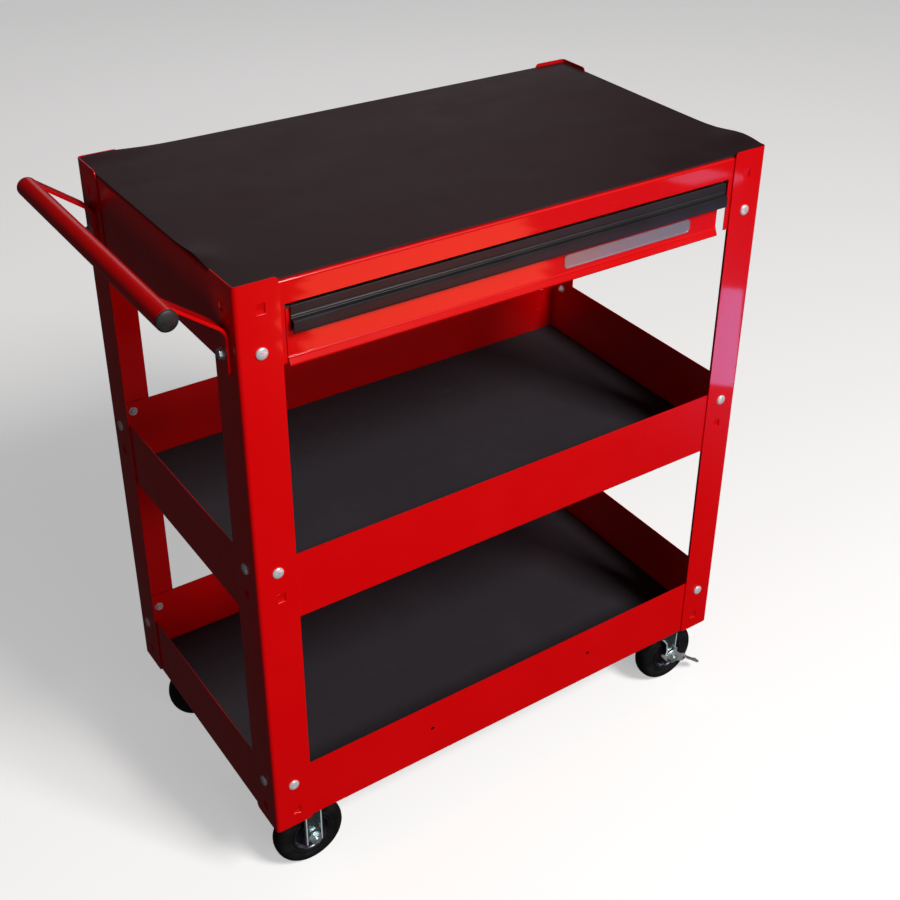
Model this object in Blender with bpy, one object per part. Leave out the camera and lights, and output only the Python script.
"""Rolling tool chest: three sheet-metal tiers on four angle posts, with one shallow drawer.

Metres, +Z up. The drawer faces -Y and the push handle is on the -X end. The origin is on the
floor, under the middle of the whole object, handle and drawer pull included.
"""

import math

import bmesh
import bpy
from mathutils import Matrix, Vector

# Driving dimensions
BODY_LENGTH = 0.762
BODY_DEPTH = 0.431
POST_HEIGHT = 0.800
WHEEL_DIAMETER = 0.1016
CASTER_HEIGHT = 0.1197
GAP = 0.0003

# Sheet metal
POST_GAUGE = 0.0015
PAN_GAUGE = 0.0012
DRAWER_GAUGE = 0.0010
BEND_RADIUS = 0.0025
POST_FRONT_FLANGE = 0.053
POST_SIDE_FLANGE = {-1: 0.058, 1: 0.053}  # left and right posts
POST_CORNER_RADIUS = 0.006

# Heights above the floor
POST_FOOT = CASTER_HEIGHT + GAP
POST_TOP = POST_FOOT + POST_HEIGHT
TRAY_HEIGHT = 0.096
MIDDLE_TRAY_BASE = POST_FOOT + 0.340
TOP_PAN_DEPTH = 0.100
DECK_TOP = POST_TOP - 0.007
PAN_BOTTOM = DECK_TOP - TOP_PAN_DEPTH
MAT_THICKNESS = 0.0025
LINER_MARGIN = 0.0012

# Screws through the post flanges
SCREW_INSET_X = 0.0278
SCREW_HEIGHTS = (POST_FOOT + 0.0740, POST_FOOT + 0.4215, POST_FOOT + 0.7155)
SCREW_RADIUS = 0.0026
SCREW_HEAD_RADIUS = 0.0064
SCREW_HEAD_HEIGHT = 0.0028
SCREW_LENGTH = 0.0075
SPARE_HOLE_REACH = 0.1375
SPARE_HOLE_HEIGHT = POST_FOOT + 0.0512
SPARE_HOLE_RADIUS = 0.0030

# Drawer
OPENING_LEFT_END = -0.3222
OPENING_RIGHT_END = 0.3205
OPENING_TOP = POST_FOOT + 0.7645
DRAWER_HALF_WIDTH = 0.304
DRAWER_DEPTH = 0.396
DRAWER_HEIGHT = 0.0555
DRAWER_BASE = POST_FOOT + 0.7015
DRAWER_TRAVEL = 0.300
FRONT_LEFT_END = -0.3214
FRONT_RIGHT_END = 0.3055
FRONT_TOP = POST_FOOT + 0.7585
LIP_REACH = 0.0045
LIP_DROP = 0.0068
PULL_LEFT_END = -0.3165
PULL_RIGHT_END = 0.3135
PULL_TOP = POST_FOOT + 0.7592
PULL_HEIGHT = 0.0290
PULL_PROUD = 0.0072
BADGE_LEFT_END = 0.054
BADGE_LENGTH = 0.204
BADGE_HEIGHT = 0.0185
BADGE_BASE = POST_FOOT + 0.7065

# Drawer slides, three nested channels on each side
SLIDE_LENGTH = 0.381
SLIDE_HEIGHT = 0.035
SLIDE_BASE = POST_FOOT + 0.7215
SLIDE_GAUGE = 0.0012
SLIDE_WIDTH = 0.0122
SLIDE_CLEARANCE = 0.0005

# Push handle
HANDLE_REACH = 0.0680
HANDLE_HEIGHT = POST_FOOT + 0.7780
TUBE_RADIUS = 0.0125
TUBE_WALL = 0.0015
TUBE_LENGTH = 0.410
PLUG_RIM = 0.0045
STRAP_THICKNESS = 0.0042
STRAP_WIDTH = 0.025
STRAP_FOOT = POST_FOOT + 0.6855
STRAP_BEND = POST_FOOT + 0.738
STRAP_BEND_RADIUS = 0.010
HANDLE_BOLT_Y = 0.187
HANDLE_BOLT_HEIGHT = POST_FOOT + 0.7125

# Casters
WHEEL_RADIUS = WHEEL_DIAMETER / 2
TYRE_WIDTH = 0.030
TYRE_INNER_RADIUS = 0.0290
HUB_RADIUS = 0.0110
HUB_WIDTH = 0.0330
AXLE_RADIUS = 0.0050
PLATE_THICKNESS = 0.0025
LEG_THICKNESS = 0.0025
LEG_INNER = 0.0178
CASTER_Y = 0.172
RIGID_X = -0.317
SWIVEL_X = 0.315
TRAIL = 0.020
KINGPIN_RADIUS = 0.0050
RACE_RADIUS = 0.0240
RACE_HEIGHT = 0.0035
LEVER_ANGLE = math.radians(-31)
LEVER_LENGTH = 0.0660

# Where the middle of the four posts stands from the origin
REACH_LEFT = BODY_LENGTH / 2 + HANDLE_REACH + TUBE_RADIUS
REACH_RIGHT = SWIVEL_X + TRAIL + LEVER_LENGTH * math.cos(LEVER_ANGLE) + 0.0005
REACH_FRONT = BODY_DEPTH / 2 + PULL_PROUD
BODY_CENTRE = Vector(((REACH_LEFT - REACH_RIGHT) / 2, (REACH_FRONT - BODY_DEPTH / 2) / 2, 0))

# Faces shared by several parts, from the middle of the posts
WALL_X = BODY_LENGTH / 2 - POST_GAUGE - GAP
WALL_Y = BODY_DEPTH / 2 - POST_GAUGE - GAP
FRONT_FACE = -WALL_Y

for leftover in list(bpy.data.objects):
    bpy.data.objects.remove(leftover, do_unlink=True)


def finish(name, colour, roughness, metallic=0.0):
    """A Principled material."""
    made = bpy.data.materials.new(name)
    made.use_nodes = True
    shader = made.node_tree.nodes["Principled BSDF"]
    shader.inputs["Base Color"].default_value = (*colour, 1)
    shader.inputs["Roughness"].default_value = roughness
    shader.inputs["Metallic"].default_value = metallic
    return made


RED_PAINT = finish("red_powder_coat", (0.62, 0.005, 0.010), 0.28)
BLACK_PAINT = finish("black_painted_aluminium", (0.015, 0.016, 0.018), 0.35)
MAT_RUBBER = finish("mat_rubber", (0.035, 0.026, 0.028), 0.55)
TYRE_RUBBER = finish("tyre_rubber", (0.012, 0.012, 0.013), 0.60)
BLACK_PLASTIC = finish("black_plastic", (0.020, 0.021, 0.022), 0.45)
ZINC = finish("zinc_plate", (0.62, 0.64, 0.66), 0.32, 1.0)
BRIGHT_PLATE = finish("satin_plate", (0.70, 0.72, 0.74), 0.40, 1.0)


def empty(name, place, parent=None):
    """A point that pieces hang from."""
    point = bpy.data.objects.new(name, None)
    point.location = place
    point.parent = parent
    bpy.context.scene.collection.objects.link(point)
    return point


def piece(name, shape, material, parent, place=(0, 0, 0), smooth=False):
    """An object from a bmesh, with its normals pointing out."""
    bmesh.ops.recalc_face_normals(shape, faces=shape.faces)
    mesh = bpy.data.meshes.new(name)
    shape.to_mesh(mesh)
    shape.free()
    mesh.materials.append(material)
    if smooth:
        mesh.shade_smooth()
        mesh.set_sharp_from_angle(angle=math.radians(35))
    made = bpy.data.objects.new(name, mesh)
    made.location = place
    made.parent = parent
    bpy.context.scene.collection.objects.link(made)
    return made


def box(low, high, shape=None):
    """A box between two corners, added to a bmesh."""
    shape = shape or bmesh.new()
    size = Vector(high) - Vector(low)
    middle = (Vector(high) + Vector(low)) / 2
    place = Matrix.Translation(middle) @ Matrix.Diagonal((*size, 1))
    bmesh.ops.create_cube(shape, size=1, matrix=place)
    return shape


# How an outline's two coordinates and its depth become x, y and z
ALONG = {
    "X": lambda u, v, depth: (depth, u, v),
    "Y": lambda u, v, depth: (u, depth, v),
    "Z": lambda u, v, depth: (u, v, depth),
}


def prism(outline, axis, start, end, shape=None):
    """An outline extruded along X, Y or Z, from start to end."""
    shape = shape or bmesh.new()
    ring = [shape.verts.new(ALONG[axis](u, v, start)) for u, v in outline]
    cap = shape.faces.new(ring)
    grown = bmesh.ops.extrude_face_region(shape, geom=[cap])["geom"]
    step = Vector(ALONG[axis](0, 0, end - start))
    bmesh.ops.translate(shape, verts=[v for v in grown if isinstance(v, bmesh.types.BMVert)], vec=step)
    return shape


def turned(profile, axis, segments=24):
    """A closed (radius, distance along the axis) profile spun into a solid around X, Y or Z."""
    shape = bmesh.new()
    direction = Vector(ALONG[axis](0, 0, 1))
    outward = Vector(ALONG[axis](1, 0, 0))
    ring = [shape.verts.new(outward * radius + direction * along) for radius, along in profile]
    edges = [shape.edges.new((ring[i - 1], ring[i])) for i in range(len(ring))]
    bmesh.ops.spin(
        shape,
        geom=ring + edges,
        cent=(0, 0, 0),
        axis=direction,
        angle=math.tau,
        steps=segments,
        use_merge=True,
    )
    bmesh.ops.remove_doubles(shape, verts=shape.verts, dist=1e-6)
    bmesh.ops.dissolve_degenerate(shape, edges=shape.edges, dist=1e-7)
    loose = [edge for edge in shape.edges if not edge.link_faces]
    bmesh.ops.delete(shape, geom=loose, context="EDGES")
    return shape


def arc(centre, radius, start, end, count):
    """Points along a circle between two angles in degrees."""
    angles = [math.radians(start + (end - start) * i / count) for i in range(count + 1)]
    return [(centre[0] + radius * math.cos(a), centre[1] + radius * math.sin(a)) for a in angles]


def bent_strip(path, gauge, radius, segments=3):
    """The outline of a strip of one gauge that follows a path, with a rounded bend at each corner."""
    points = [Vector(p) for p in path]
    line = [points[0]]
    for before, corner, after in zip(points, points[1:], points[2:]):
        back = (before - corner).normalized()
        ahead = (after - corner).normalized()
        half = back.angle(ahead) / 2
        centre = corner + (back + ahead).normalized() * (radius / math.sin(half))
        first = corner + back * (radius / math.tan(half)) - centre
        last = corner + ahead * (radius / math.tan(half)) - centre
        line += [centre + first.slerp(last, i / segments) * radius for i in range(segments + 1)]
    line.append(points[-1])
    sides = ([], [])
    for i, point in enumerate(line):
        into = (point - line[i - 1]).normalized() if i else None
        out = (line[i + 1] - point).normalized() if i + 1 < len(line) else into
        into = into or out
        middle = (into + out).normalized()
        reach = gauge / 2 / max(middle.dot(out), 0.2)
        normal = Vector((-middle.y, middle.x)) * reach
        sides[0].append(tuple(point + normal))
        sides[1].append(tuple(point - normal))
    return sides[0] + sides[1][::-1]


def cut(target, shape, name):
    """Takes a shape out of a piece. The cutter is a guide and not a part of the object."""
    cutter = piece(name, shape, ZINC, target.parent, target.location)
    cutter.hide_render = True
    cutter.display_type = "WIRE"
    boolean = target.modifiers.new(name, "BOOLEAN")
    boolean.operation = "DIFFERENCE"
    boolean.solver = "EXACT"
    boolean.object = cutter


def rods(places, axis, radius, length, segments=12):
    """Round rods centred on places, as cutters for drilled holes."""
    shape = bmesh.new()
    for place in places:
        spot = {"X": (place[1], place[2]), "Y": (place[0], place[2]), "Z": (place[0], place[1])}[axis]
        depth = {"X": place[0], "Y": place[1], "Z": place[2]}[axis]
        round_outline = arc(spot, radius, 0, 360 - 360 / segments, segments - 1)
        prism(round_outline, axis, depth - length / 2, depth + length / 2, shape)
    return shape


def pan(name, base, height, half_length, half_depth, gauge, parent, open_top=True, place=(0, 0, 0)):
    """A folded sheet pan: a floor, or a deck, with four walls."""
    shape = box((-half_length, -half_depth, base), (half_length, half_depth, base + height))
    open_height = base + height if open_top else base
    lids = [f for f in shape.faces if abs(f.calc_center_median().z - open_height) < 1e-6]
    bmesh.ops.delete(shape, geom=lids, context="FACES_ONLY")
    bends = [e for e in shape.edges if any(abs(v.co.z - open_height) > 1e-6 for v in e.verts)]
    bmesh.ops.bevel(shape, geom=bends, offset=BEND_RADIUS, segments=2, affect="EDGES", profile=0.5)
    made = piece(name, shape, RED_PAINT, parent, place)
    wall = made.modifiers.new("gauge", "SOLIDIFY")
    wall.thickness = gauge
    wall.offset = -1
    wall.use_even_offset = True
    return made


chest = empty("chest", BODY_CENTRE)


# Four corner posts: steel angle, the flanges outside the tray walls
def build_post(name, side_x, side_y):
    face_x = side_x * (BODY_LENGTH - POST_GAUGE) / 2
    face_y = side_y * (BODY_DEPTH - POST_GAUGE) / 2
    front_end = side_x * (BODY_LENGTH / 2 - POST_FRONT_FLANGE)
    side_end = side_y * (BODY_DEPTH / 2 - POST_SIDE_FLANGE[side_x])
    outline = bent_strip(
        [(front_end, face_y), (face_x, face_y), (face_x, side_end)], POST_GAUGE, BEND_RADIUS
    )
    shape = prism(outline, "Z", POST_FOOT, POST_TOP)
    corners = []
    for edge in shape.edges:
        ends = [v.co for v in edge.verts]
        at_top = all(abs(p.z - POST_TOP) < 1e-6 for p in ends)
        free = all(abs(p.x - front_end) < 1e-6 for p in ends) or all(
            abs(p.y - side_end) < 1e-6 for p in ends
        )
        if at_top and free:
            corners.append(edge)
    bmesh.ops.bevel(
        shape, geom=corners, offset=POST_CORNER_RADIUS, segments=3, affect="EDGES", profile=0.5
    )
    return piece(name, shape, RED_PAINT, chest)


screw_places = {
    (side_x, height): (side_x * (BODY_LENGTH / 2 - SCREW_INSET_X), -BODY_DEPTH / 2, height)
    for side_x in (-1, 1)
    for height in SCREW_HEIGHTS
}
bolt_places = {
    side_y: (-BODY_LENGTH / 2, side_y * HANDLE_BOLT_Y, HANDLE_BOLT_HEIGHT) for side_y in (-1, 1)
}
HOLE_RADIUS = SCREW_RADIUS + GAP
HOLE_DEPTH = 0.020
SIDE_NAMES = {-1: "left", 1: "right"}
END_NAMES = {-1: "front", 1: "rear"}
for side_x in (-1, 1):
    for side_y in (-1, 1):
        label = f"{END_NAMES[side_y]}_{SIDE_NAMES[side_x]}"
        post = build_post(f"post_{label}", side_x, side_y)
        if side_y < 0:
            holes = [place for key, place in screw_places.items() if key[0] == side_x]
            cut(post, rods(holes, "Y", HOLE_RADIUS, HOLE_DEPTH), f"screw_holes_{label}")
        if side_x < 0:
            hole = rods([bolt_places[side_y]], "X", HOLE_RADIUS, HOLE_DEPTH)
            cut(post, hole, f"bolt_hole_{label}")

# Top unit: a pan turned over, its front wall open for the drawer, and two trays with the same walls
top_pan = pan(
    "top_pan", PAN_BOTTOM, TOP_PAN_DEPTH, WALL_X, WALL_Y, PAN_GAUGE, chest, open_top=False
)
opening = box(
    (OPENING_LEFT_END, FRONT_FACE - 0.01, PAN_BOTTOM - 0.01),
    (OPENING_RIGHT_END, FRONT_FACE + 0.005, OPENING_TOP),
)
cut(top_pan, opening, "drawer_opening")
middle_tray = pan("middle_tray", MIDDLE_TRAY_BASE, TRAY_HEIGHT, WALL_X, WALL_Y, PAN_GAUGE, chest)
lower_tray = pan("lower_tray", POST_FOOT, TRAY_HEIGHT, WALL_X, WALL_Y, PAN_GAUGE, chest)
for tier, height in zip((lower_tray, middle_tray, top_pan), SCREW_HEIGHTS):
    holes = [place for key, place in screw_places.items() if key[1] == height]
    cut(tier, rods(holes, "Y", HOLE_RADIUS, HOLE_DEPTH), f"screw_holes_{tier.name}")
cut(top_pan, rods(bolt_places.values(), "X", HOLE_RADIUS, HOLE_DEPTH), "bolt_holes_top_pan")
spare_holes = [(side * SPARE_HOLE_REACH, -BODY_DEPTH / 2, SPARE_HOLE_HEIGHT) for side in (-1, 1)]
cut(lower_tray, rods(spare_holes, "Y", SPARE_HOLE_RADIUS, HOLE_DEPTH), "spare_holes_lower_tray")

# Rubber mat on the deck, and a liner in each tray
MAT_INSET = 0.0006


def build_liner(name, floor, half_length, half_depth):
    low = (-half_length, -half_depth, floor + GAP)
    high = (half_length, half_depth, floor + GAP + MAT_THICKNESS)
    return piece(name, box(low, high), MAT_RUBBER, chest)


build_liner("top_mat", DECK_TOP, WALL_X - MAT_INSET, WALL_Y - MAT_INSET)
inside_x = WALL_X - PAN_GAUGE - LINER_MARGIN
inside_y = WALL_Y - PAN_GAUGE - LINER_MARGIN
build_liner("middle_liner", MIDDLE_TRAY_BASE + PAN_GAUGE, inside_x, inside_y)
build_liner("lower_liner", POST_FOOT + PAN_GAUGE, inside_x, inside_y)


# Truss-head screws that hold the front of each tier, and the two handle bolts
def screw_profile(head_radius, head_height, length):
    crown = [
        (head_radius, GAP),
        (head_radius * 0.93, GAP + head_height * 0.45),
        (head_radius * 0.62, GAP + head_height * 0.88),
        (0, GAP + head_height),
    ]
    return [(0, -length), (SCREW_RADIUS, -length), (SCREW_RADIUS, GAP)] + crown


for (side_x, height), place in screw_places.items():
    tier = {SCREW_HEIGHTS[0]: "lower", SCREW_HEIGHTS[1]: "middle", SCREW_HEIGHTS[2]: "top"}[height]
    profile = screw_profile(SCREW_HEAD_RADIUS, SCREW_HEAD_HEIGHT, SCREW_LENGTH)
    shape = turned([(radius, -along) for radius, along in profile], "Y", 12)
    piece(f"screw_{tier}_{SIDE_NAMES[side_x]}", shape, ZINC, chest, place, smooth=True)

# Push handle: two bent straps bolted to the left posts, and a plugged tube across their ends
tube_x = -BODY_LENGTH / 2 - HANDLE_REACH
strap_x = -BODY_LENGTH / 2 - GAP - STRAP_THICKNESS / 2
tube_axis = Vector((tube_x, HANDLE_HEIGHT))
bend = Vector((strap_x, STRAP_BEND))
strap_end = tube_axis + (bend - tube_axis).normalized() * (TUBE_RADIUS + 2 * GAP)
strap_outline = bent_strip(
    [(strap_x, STRAP_FOOT), tuple(bend), tuple(strap_end)], STRAP_THICKNESS, STRAP_BEND_RADIUS, 4
)
for side_y, end_name in END_NAMES.items():
    place = bolt_places[side_y]
    low_y = place[1] - STRAP_WIDTH / 2
    strap = piece(
        f"handle_bracket_{end_name}",
        prism(strap_outline, "Y", low_y, low_y + STRAP_WIDTH),
        RED_PAINT,
        chest,
    )
    cut(strap, rods([place], "X", HOLE_RADIUS, HOLE_DEPTH), f"strap_hole_{end_name}")
    head = screw_profile(SCREW_HEAD_RADIUS, SCREW_HEAD_HEIGHT, SCREW_LENGTH + STRAP_THICKNESS)
    shape = turned([(radius, -along) for radius, along in head], "X", 12)
    outer_face = (place[0] - GAP - STRAP_THICKNESS, place[1], place[2])
    piece(f"handle_bolt_{end_name}", shape, ZINC, chest, outer_face, smooth=True)

half_tube = TUBE_LENGTH / 2
tube_bore = TUBE_RADIUS - TUBE_WALL
tube_profile = [
    (TUBE_RADIUS, -half_tube),
    (TUBE_RADIUS, half_tube),
    (tube_bore, half_tube),
    (tube_bore, -half_tube),
]
tube_place = (tube_x, 0, HANDLE_HEIGHT)
piece("handle_tube", turned(tube_profile, "Y", 20), RED_PAINT, chest, tube_place, smooth=True)
PLUG_STEM = 0.014
for side_y, end_name in END_NAMES.items():
    start = half_tube + GAP
    plug_profile = [
        (0, start + PLUG_RIM),
        (TUBE_RADIUS * 0.60, start + PLUG_RIM * 0.85),
        (TUBE_RADIUS * 0.92, start + PLUG_RIM * 0.45),
        (TUBE_RADIUS, start),
        (tube_bore - GAP, start),
        (tube_bore - GAP, start - PLUG_STEM),
        (0, start - PLUG_STEM),
    ]
    shape = turned([(radius, along * side_y) for radius, along in plug_profile], "Y", 20)
    piece(f"handle_plug_{end_name}", shape, BLACK_PLASTIC, chest, tube_place, smooth=True)

# Drawer slides. The outer channel hangs from the deck, the inner one is fixed to the drawer
slide_front = FRONT_FACE + 0.008
hanger_top = DECK_TOP - PAN_GAUGE - GAP
HANGER_FLANGE = 0.022
HANGER_GAUGE = 0.0012
channel_step = SLIDE_GAUGE + SLIDE_CLEARANCE


def channel(web, tip, height_inset):
    """A C channel's outline in XZ: its web stands at x = web and its lips end at x = tip."""
    low = SLIDE_BASE + height_inset
    high = SLIDE_BASE + SLIDE_HEIGHT - height_inset
    inward = SLIDE_GAUGE if tip > web else -SLIDE_GAUGE
    return [
        (web, low),
        (tip, low),
        (tip, low + SLIDE_GAUGE),
        (web + inward, low + SLIDE_GAUGE),
        (web + inward, high - SLIDE_GAUGE),
        (tip, high - SLIDE_GAUGE),
        (tip, high),
        (web, high),
    ]


drawer = empty("drawer_runner", (0, 0, 0), chest)
for side_x, side_name in SIDE_NAMES.items():
    near = DRAWER_HALF_WIDTH + GAP
    far = near + SLIDE_WIDTH
    members = {
        "outer": (channel(far, near + SLIDE_CLEARANCE, 0), chest),
        "middle": (channel(far - channel_step, near + 2 * SLIDE_CLEARANCE, channel_step), None),
        "inner": (channel(near, far - 2 * channel_step, 2 * channel_step), drawer),
    }
    for member, (outline, holder) in members.items():
        holder = holder or empty(f"slide_runner_{side_name}", (0, 0, 0), chest)
        mirrored = [(side_x * x, z) for x, z in outline]
        shape = prism(mirrored, "Y", slide_front, slide_front + SLIDE_LENGTH)
        piece(f"slide_{member}_{side_name}", shape, ZINC, holder)
    web_x = side_x * (far + GAP + HANGER_GAUGE / 2)
    flange_x = web_x + side_x * HANGER_FLANGE
    hanger = bent_strip(
        [(web_x, SLIDE_BASE), (web_x, hanger_top - HANGER_GAUGE / 2), (flange_x, hanger_top - HANGER_GAUGE / 2)],
        HANGER_GAUGE,
        BEND_RADIUS / 2,
        2,
    )
    back = WALL_Y - 0.006
    piece(f"slide_hanger_{side_name}", prism(hanger, "Y", slide_front, back), ZINC, chest)

# Drawer: a shallow box, a front panel with a flared lip, the channel pull and a blank name plate
box_front = FRONT_FACE + DRAWER_GAUGE + GAP
drawer_middle = box_front + DRAWER_DEPTH / 2
pan(
    "drawer_box",
    DRAWER_BASE,
    DRAWER_HEIGHT,
    DRAWER_HALF_WIDTH,
    DRAWER_DEPTH / 2,
    DRAWER_GAUGE,
    drawer,
    place=(0, drawer_middle, 0),
)
panel_y = FRONT_FACE + DRAWER_GAUGE / 2
lip_start = DRAWER_BASE - 0.0022
front_outline = bent_strip(
    [
        (panel_y, FRONT_TOP),
        (panel_y, lip_start),
        (panel_y - LIP_REACH, lip_start - LIP_DROP),
        (panel_y - LIP_REACH + 0.0008, lip_start - LIP_DROP - 0.0022),
    ],
    DRAWER_GAUGE,
    0.0012,
    2,
)
front_panel = prism(front_outline, "X", FRONT_LEFT_END, FRONT_RIGHT_END)
piece("drawer_front", front_panel, RED_PAINT, drawer)

pull_back = FRONT_FACE - GAP
pull_face = -BODY_DEPTH / 2 - PULL_PROUD
pull_bottom = PULL_TOP - PULL_HEIGHT
upper_face = pull_back - 0.0032
pull_outline = [
    (pull_back, PULL_TOP),
    (upper_face, PULL_TOP),
    (upper_face, PULL_TOP - 0.0072),
    *arc((upper_face - 0.0002, PULL_TOP - 0.0086), 0.0014, 110, 250, 4),
    (upper_face, PULL_TOP - 0.0118),
    (pull_face + 0.0008, PULL_TOP - 0.0138),
    (pull_face, PULL_TOP - 0.0150),
    (pull_face, pull_bottom + 0.0020),
    (pull_face + 0.0014, pull_bottom),
    (pull_face + 0.0030, pull_bottom + 0.0006),
    (pull_face + 0.0018, pull_bottom + 0.0030),
    (pull_face + 0.0018, PULL_TOP - 0.0160),
    (pull_back - 0.0018, PULL_TOP - 0.0130),
    (pull_back - 0.0018, pull_bottom + 0.0040),
    (pull_back, pull_bottom + 0.0040),
]
pull = prism(pull_outline, "X", PULL_LEFT_END, PULL_RIGHT_END)
piece("drawer_pull", pull, BLACK_PAINT, drawer)

BADGE_THICKNESS = 0.0008
badge_low = (BADGE_LEFT_END, FRONT_FACE - GAP - BADGE_THICKNESS, BADGE_BASE)
badge_high = (BADGE_LEFT_END + BADGE_LENGTH, FRONT_FACE - GAP, BADGE_BASE + BADGE_HEIGHT)
piece("name_plate", box(badge_low, badge_high), BRIGHT_PLATE, drawer)


# Casters: rigid under the handle end, swivelling and braked under the far end
def leg_outline(top_x, top_width, top_z):
    """One fork leg in XZ around an axle at x = 0, z = 0, widening to the plate or crown above."""
    foot = arc((0, 0), 0.0125, 180, 360, 6)
    return foot + [(top_x + top_width / 2, top_z), (top_x - top_width / 2, top_z)]


def strap_outline(half_width, foot, top_z):
    """A straight leg in XZ around an axle at x = 0, z = 0, its foot's corners cut off."""
    chamfer = 0.005
    return [
        (-half_width, -foot + chamfer),
        (-half_width + chamfer, -foot),
        (half_width - chamfer, -foot),
        (half_width, -foot + chamfer),
        (half_width, top_z),
        (-half_width, top_z),
    ]


def join(name, shapes, material, parent, place=(0, 0, 0)):
    """One solid from overlapping shapes, welded by Boolean unions."""
    base = piece(name, shapes[0], material, parent, place)
    for number, shape in enumerate(shapes[1:]):
        other = piece(f"{name}_weld_{number}", shape, material, parent, place)
        other.hide_render = True
        other.display_type = "WIRE"
        weld = base.modifiers.new(f"weld_{number}", "BOOLEAN")
        weld.operation = "UNION"
        weld.solver = "EXACT"
        weld.object = other
    return base


def build_wheel(label, parent, place):
    """Tyre and rim, spinning on Y about their own origin."""
    half = TYRE_WIDTH / 2
    tyre = [
        (TYRE_INNER_RADIUS, -half * 0.80),
        (WHEEL_RADIUS - 0.0070, -half),
        (WHEEL_RADIUS - 0.0018, -half * 0.72),
        (WHEEL_RADIUS, -half * 0.35),
        (WHEEL_RADIUS, half * 0.35),
        (WHEEL_RADIUS - 0.0018, half * 0.72),
        (WHEEL_RADIUS - 0.0070, half),
        (TYRE_INNER_RADIUS, half * 0.80),
    ]
    piece(f"tyre_{label}", turned(tyre, "Y", 28), TYRE_RUBBER, parent, place, smooth=True)
    edge = TYRE_INNER_RADIUS - GAP
    bore = AXLE_RADIUS + GAP
    rim = [
        (bore, -HUB_WIDTH / 2),
        (HUB_RADIUS, -HUB_WIDTH / 2),
        (HUB_RADIUS + 0.002, -0.0045),
        (edge - 0.0025, -0.0045),
        (edge - 0.0015, -half * 0.76),
        (edge, -half * 0.76),
        (edge, half * 0.76),
        (edge - 0.0015, half * 0.76),
        (edge - 0.0025, 0.0045),
        (HUB_RADIUS + 0.002, 0.0045),
        (HUB_RADIUS, HUB_WIDTH / 2),
        (bore, HUB_WIDTH / 2),
    ]
    piece(f"rim_{label}", turned(rim, "Y", 28), ZINC, parent, place, smooth=True)


NUT_RADIUS = 0.0085
NUT_HEIGHT = 0.0055
LEVER_GAUGE = 0.0020
leg_outer = LEG_INNER + LEG_THICKNESS


def build_axle(label, outside, lever, parent, place):
    """Axle bolt with its hexagon head on the inner leg and its nut on the outer one."""
    nut_face = leg_outer + GAP + (LEVER_GAUGE + GAP if lever else 0)
    head_face = leg_outer + GAP
    shank = prism(arc((0, 0), AXLE_RADIUS, 0, 345, 15), "Y", -head_face - 0.001, nut_face + 0.001)
    nut = prism(arc((0, 0), NUT_RADIUS, 0, 300, 5), "Y", nut_face, nut_face + NUT_HEIGHT)
    head = prism(arc((0, 0), NUT_RADIUS, 0, 300, 5), "Y", -head_face, -head_face - NUT_HEIGHT)
    shapes = [shank, nut, head]
    for shape in shapes:
        bmesh.ops.scale(shape, vec=(1, outside, 1), verts=shape.verts)
    join(f"axle_{label}", shapes, ZINC, parent, place)


def caster_plate(half_x, half_y):
    return box((-half_x, -half_y, CASTER_HEIGHT - PLATE_THICKNESS), (half_x, half_y, CASTER_HEIGHT))


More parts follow.
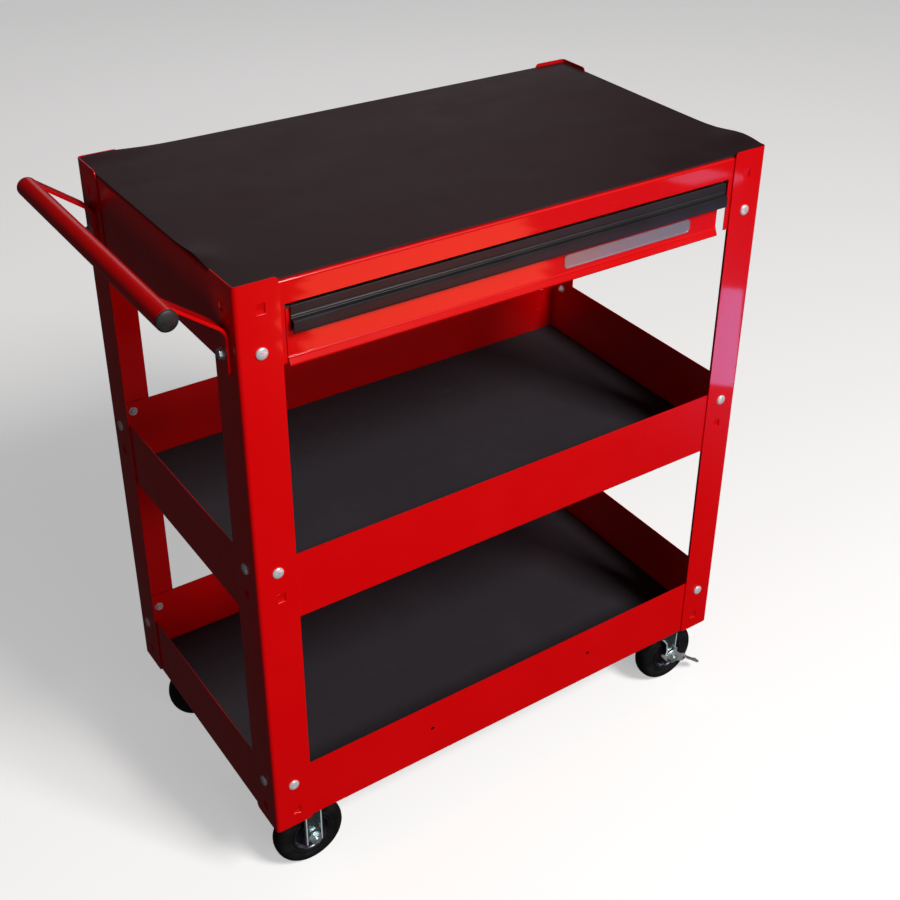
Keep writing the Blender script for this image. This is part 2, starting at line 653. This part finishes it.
axle_hole = AXLE_RADIUS + GAP
for side_y, end_name in END_NAMES.items():
    # rigid caster
    label = f"{end_name}_left"
    corner = empty(f"rigid_caster_{end_name}", (RIGID_X, side_y * CASTER_Y, 0), chest)
    legs = []
    for leg_side in (-1, 1):
        outline = strap_outline(0.0140, 0.0130, CASTER_HEIGHT - WHEEL_RADIUS - PLATE_THICKNESS / 2)
        raised = [(x, z + WHEEL_RADIUS) for x, z in outline]
        legs.append(prism(raised, "Y", leg_side * LEG_INNER, leg_side * leg_outer))
    housing = join(f"rigid_housing_{label}", [caster_plate(0.0475, 0.031), *legs], ZINC, corner)
    cut(housing, rods([(0, 0, WHEEL_RADIUS)], "Y", axle_hole, 0.06), f"axle_holes_{label}")
    axle_place = (0, 0, WHEEL_RADIUS)
    build_axle(label, side_y, False, corner, axle_place)
    build_wheel(label, corner, axle_place)

    # swivel caster: plate with its race, kingpin, fork, and the brake lever beside the outer leg
    label = f"{end_name}_right"
    corner = empty(f"swivel_caster_{end_name}", (SWIVEL_X, side_y * CASTER_Y, 0), chest)
    race_low = CASTER_HEIGHT - PLATE_THICKNESS - RACE_HEIGHT
    ring = [
        (KINGPIN_RADIUS + GAP, race_low),
        (RACE_RADIUS - 0.003, race_low),
        (RACE_RADIUS, race_low + 0.002),
        (RACE_RADIUS, CASTER_HEIGHT - PLATE_THICKNESS / 2),
        (KINGPIN_RADIUS + GAP, CASTER_HEIGHT - PLATE_THICKNESS / 2),
    ]
    plate = join(f"swivel_plate_{label}", [caster_plate(0.0275, 0.040), turned(ring, "Z", 20)], ZINC, corner)
    bore = rods([(0, 0, CASTER_HEIGHT)], "Z", KINGPIN_RADIUS + GAP, 0.03)
    cut(plate, bore, f"kingpin_hole_{label}")
    crown_top = race_low - GAP
    crown_low = crown_top - LEG_THICKNESS
    pin = [
        (0, crown_low - 0.0040),
        (KINGPIN_RADIUS + 0.002, crown_low - 0.0040),
        (KINGPIN_RADIUS + 0.003, crown_low - GAP),
        (KINGPIN_RADIUS, crown_low - GAP),
        (KINGPIN_RADIUS, CASTER_HEIGHT),
        (0, CASTER_HEIGHT),
    ]
    piece(f"kingpin_{label}", turned(pin, "Z", 16), ZINC, corner, smooth=True)
    crown = box((-0.021, -leg_outer, crown_low), (0.040, leg_outer, crown_top))
    legs = []
    for leg_side in (-1, 1):
        outline = leg_outline(-TRAIL / 2, 0.048, crown_top - WHEEL_RADIUS - LEG_THICKNESS / 2)
        raised = [(x + TRAIL, z + WHEEL_RADIUS) for x, z in outline]
        legs.append(prism(raised, "Y", leg_side * LEG_INNER, leg_side * leg_outer))
    fork = join(f"fork_{label}", [crown, *legs], ZINC, corner)
    cut(fork, rods([(TRAIL, 0, WHEEL_RADIUS)], "Y", axle_hole, 0.06), f"axle_holes_{label}")
    pin_hole = rods([(0, 0, crown_low)], "Z", KINGPIN_RADIUS + GAP, 0.02)
    cut(fork, pin_hole, f"pin_hole_{label}")
    axle_place = (TRAIL, 0, WHEEL_RADIUS)
    build_axle(label, side_y, True, corner, axle_place)
    build_wheel(label, corner, axle_place)

    lever_near = side_y * (leg_outer + GAP)
    lever_far = lever_near + side_y * LEVER_GAUGE
    pedal_far = lever_near + side_y * 0.012
    turn = Matrix.Rotation(-LEVER_ANGLE, 4, "Y")
    arm = prism(
        arc((0, 0), 0.0105, 50, 310, 8) + [(LEVER_LENGTH * 0.55, -0.006), (LEVER_LENGTH * 0.55, 0.006)],
        "Y",
        lever_near,
        lever_far,
    )
    pedal_start = LEVER_LENGTH * 0.50
    pedal = prism(
        [(pedal_start, 0.001), (LEVER_LENGTH, -0.001), (LEVER_LENGTH, 0.001), (pedal_start, 0.005)],
        "Y",
        lever_near,
        pedal_far,
    )
    for shape in (arm, pedal):
        bmesh.ops.transform(shape, matrix=turn, verts=shape.verts)
    lever = join(f"brake_lever_{label}", [arm, pedal], ZINC, corner, axle_place)
    cut(lever, rods([(0, 0, 0)], "Y", axle_hole, 0.06), f"lever_hole_{label}")
